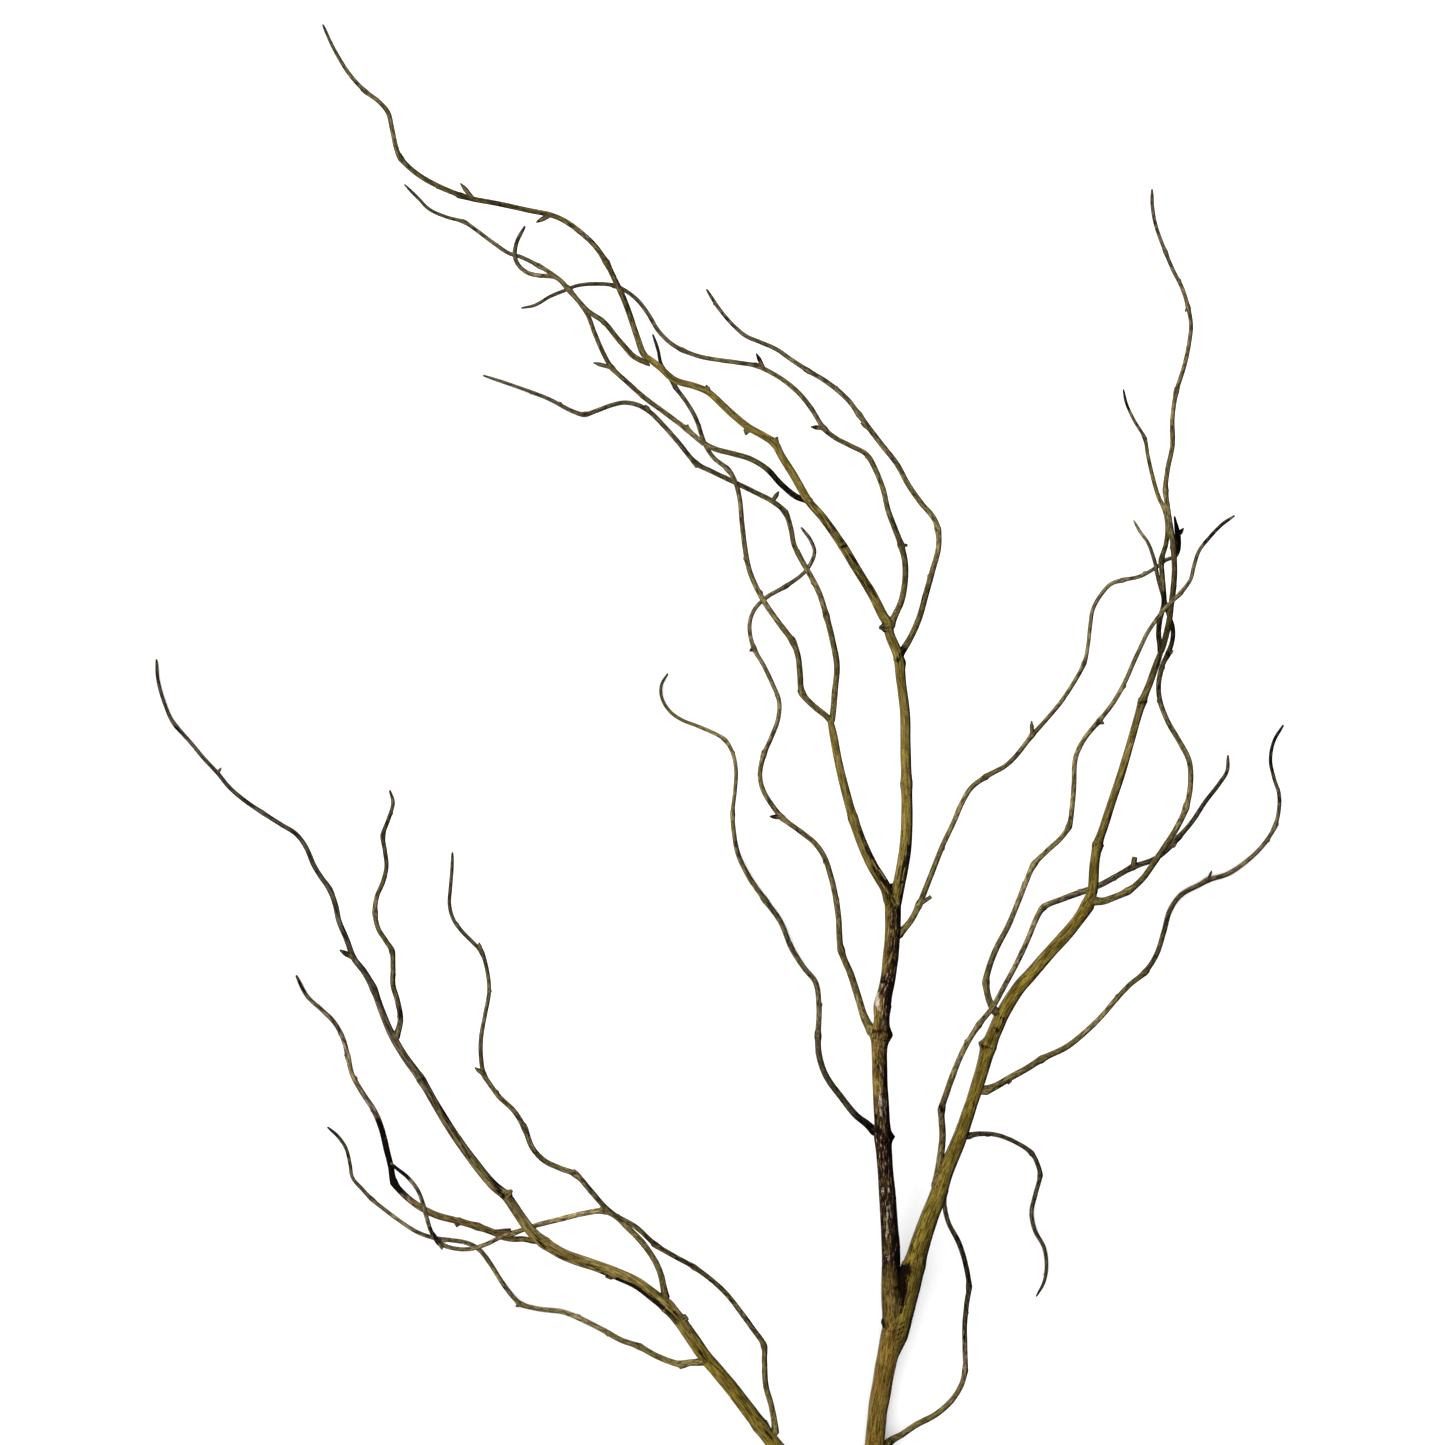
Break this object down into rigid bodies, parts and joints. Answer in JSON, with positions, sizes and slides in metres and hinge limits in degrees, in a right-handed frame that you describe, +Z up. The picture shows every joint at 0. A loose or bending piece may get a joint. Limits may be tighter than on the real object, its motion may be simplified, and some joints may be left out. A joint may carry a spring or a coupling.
{
  "type": "dried branch",
  "caption": "Dried curly-willow-like branch, cut and laid down: a stout trunk that forks into long crooked limbs and thin winding twigs with knots, buds and spurs",
  "frame": {"origin": "on the surface that the branch lies on, below the middle of its bounding box", "axes": "+Y from the sawn end towards the tips, along the branch's length; +X to the right as seen from above with the tips away; +Z up from the surface it lies on"},
  "size_m": [0.7869, 1.1657, 0.1173],
  "materials": {
    "olive_bark": "satin olive bark of the trunk and limbs, with golden-brown streaks, dark specks and ring scars",
    "dark_bark": "matt, rough, purplish dark brown bark with pale flecks and a bare patch",
    "twig_bark": "fine-ribbed grey-olive twig bark, nearly black at knots and tips"
  },
  "bodies": {
    "root": {"trunk": "olive_bark", "centre_stem": "dark_bark", "centre_limb": "olive_bark", "centre_limb_top": "olive_bark", "side_limb": "olive_bark", "left_limb": "olive_bark", "right_limb": "olive_bark", "right_limb_top": "olive_bark", "centre_tip_twig": "twig_bark", "centre_hook_twig": "twig_bark", "centre_long_twig": "twig_bark", "centre_inner_twig": "twig_bark", "centre_outer_twig": "twig_bark", "side_low_twig": "twig_bark", "side_inner_twig": "twig_bark", "stem_upper_twig": "twig_bark", "stem_lower_twig": "twig_bark", "stem_right_twig": "twig_bark", "right_tip_twig": "twig_bark", "right_short_twig": "twig_bark", "right_bow_twig": "twig_bark", "right_inner_twig": "twig_bark", "right_crossing_twig": "twig_bark", "right_outer_twig": "twig_bark", "right_curl_twig": "twig_bark", "trunk_bow_twig": "twig_bark", "left_arch_twig": "twig_bark", "left_loop_twig": "twig_bark", "left_low_twig": "twig_bark", "left_under_twig": "dark_bark", "left_upright_twig": "twig_bark"}
  },
  "joints": []
}
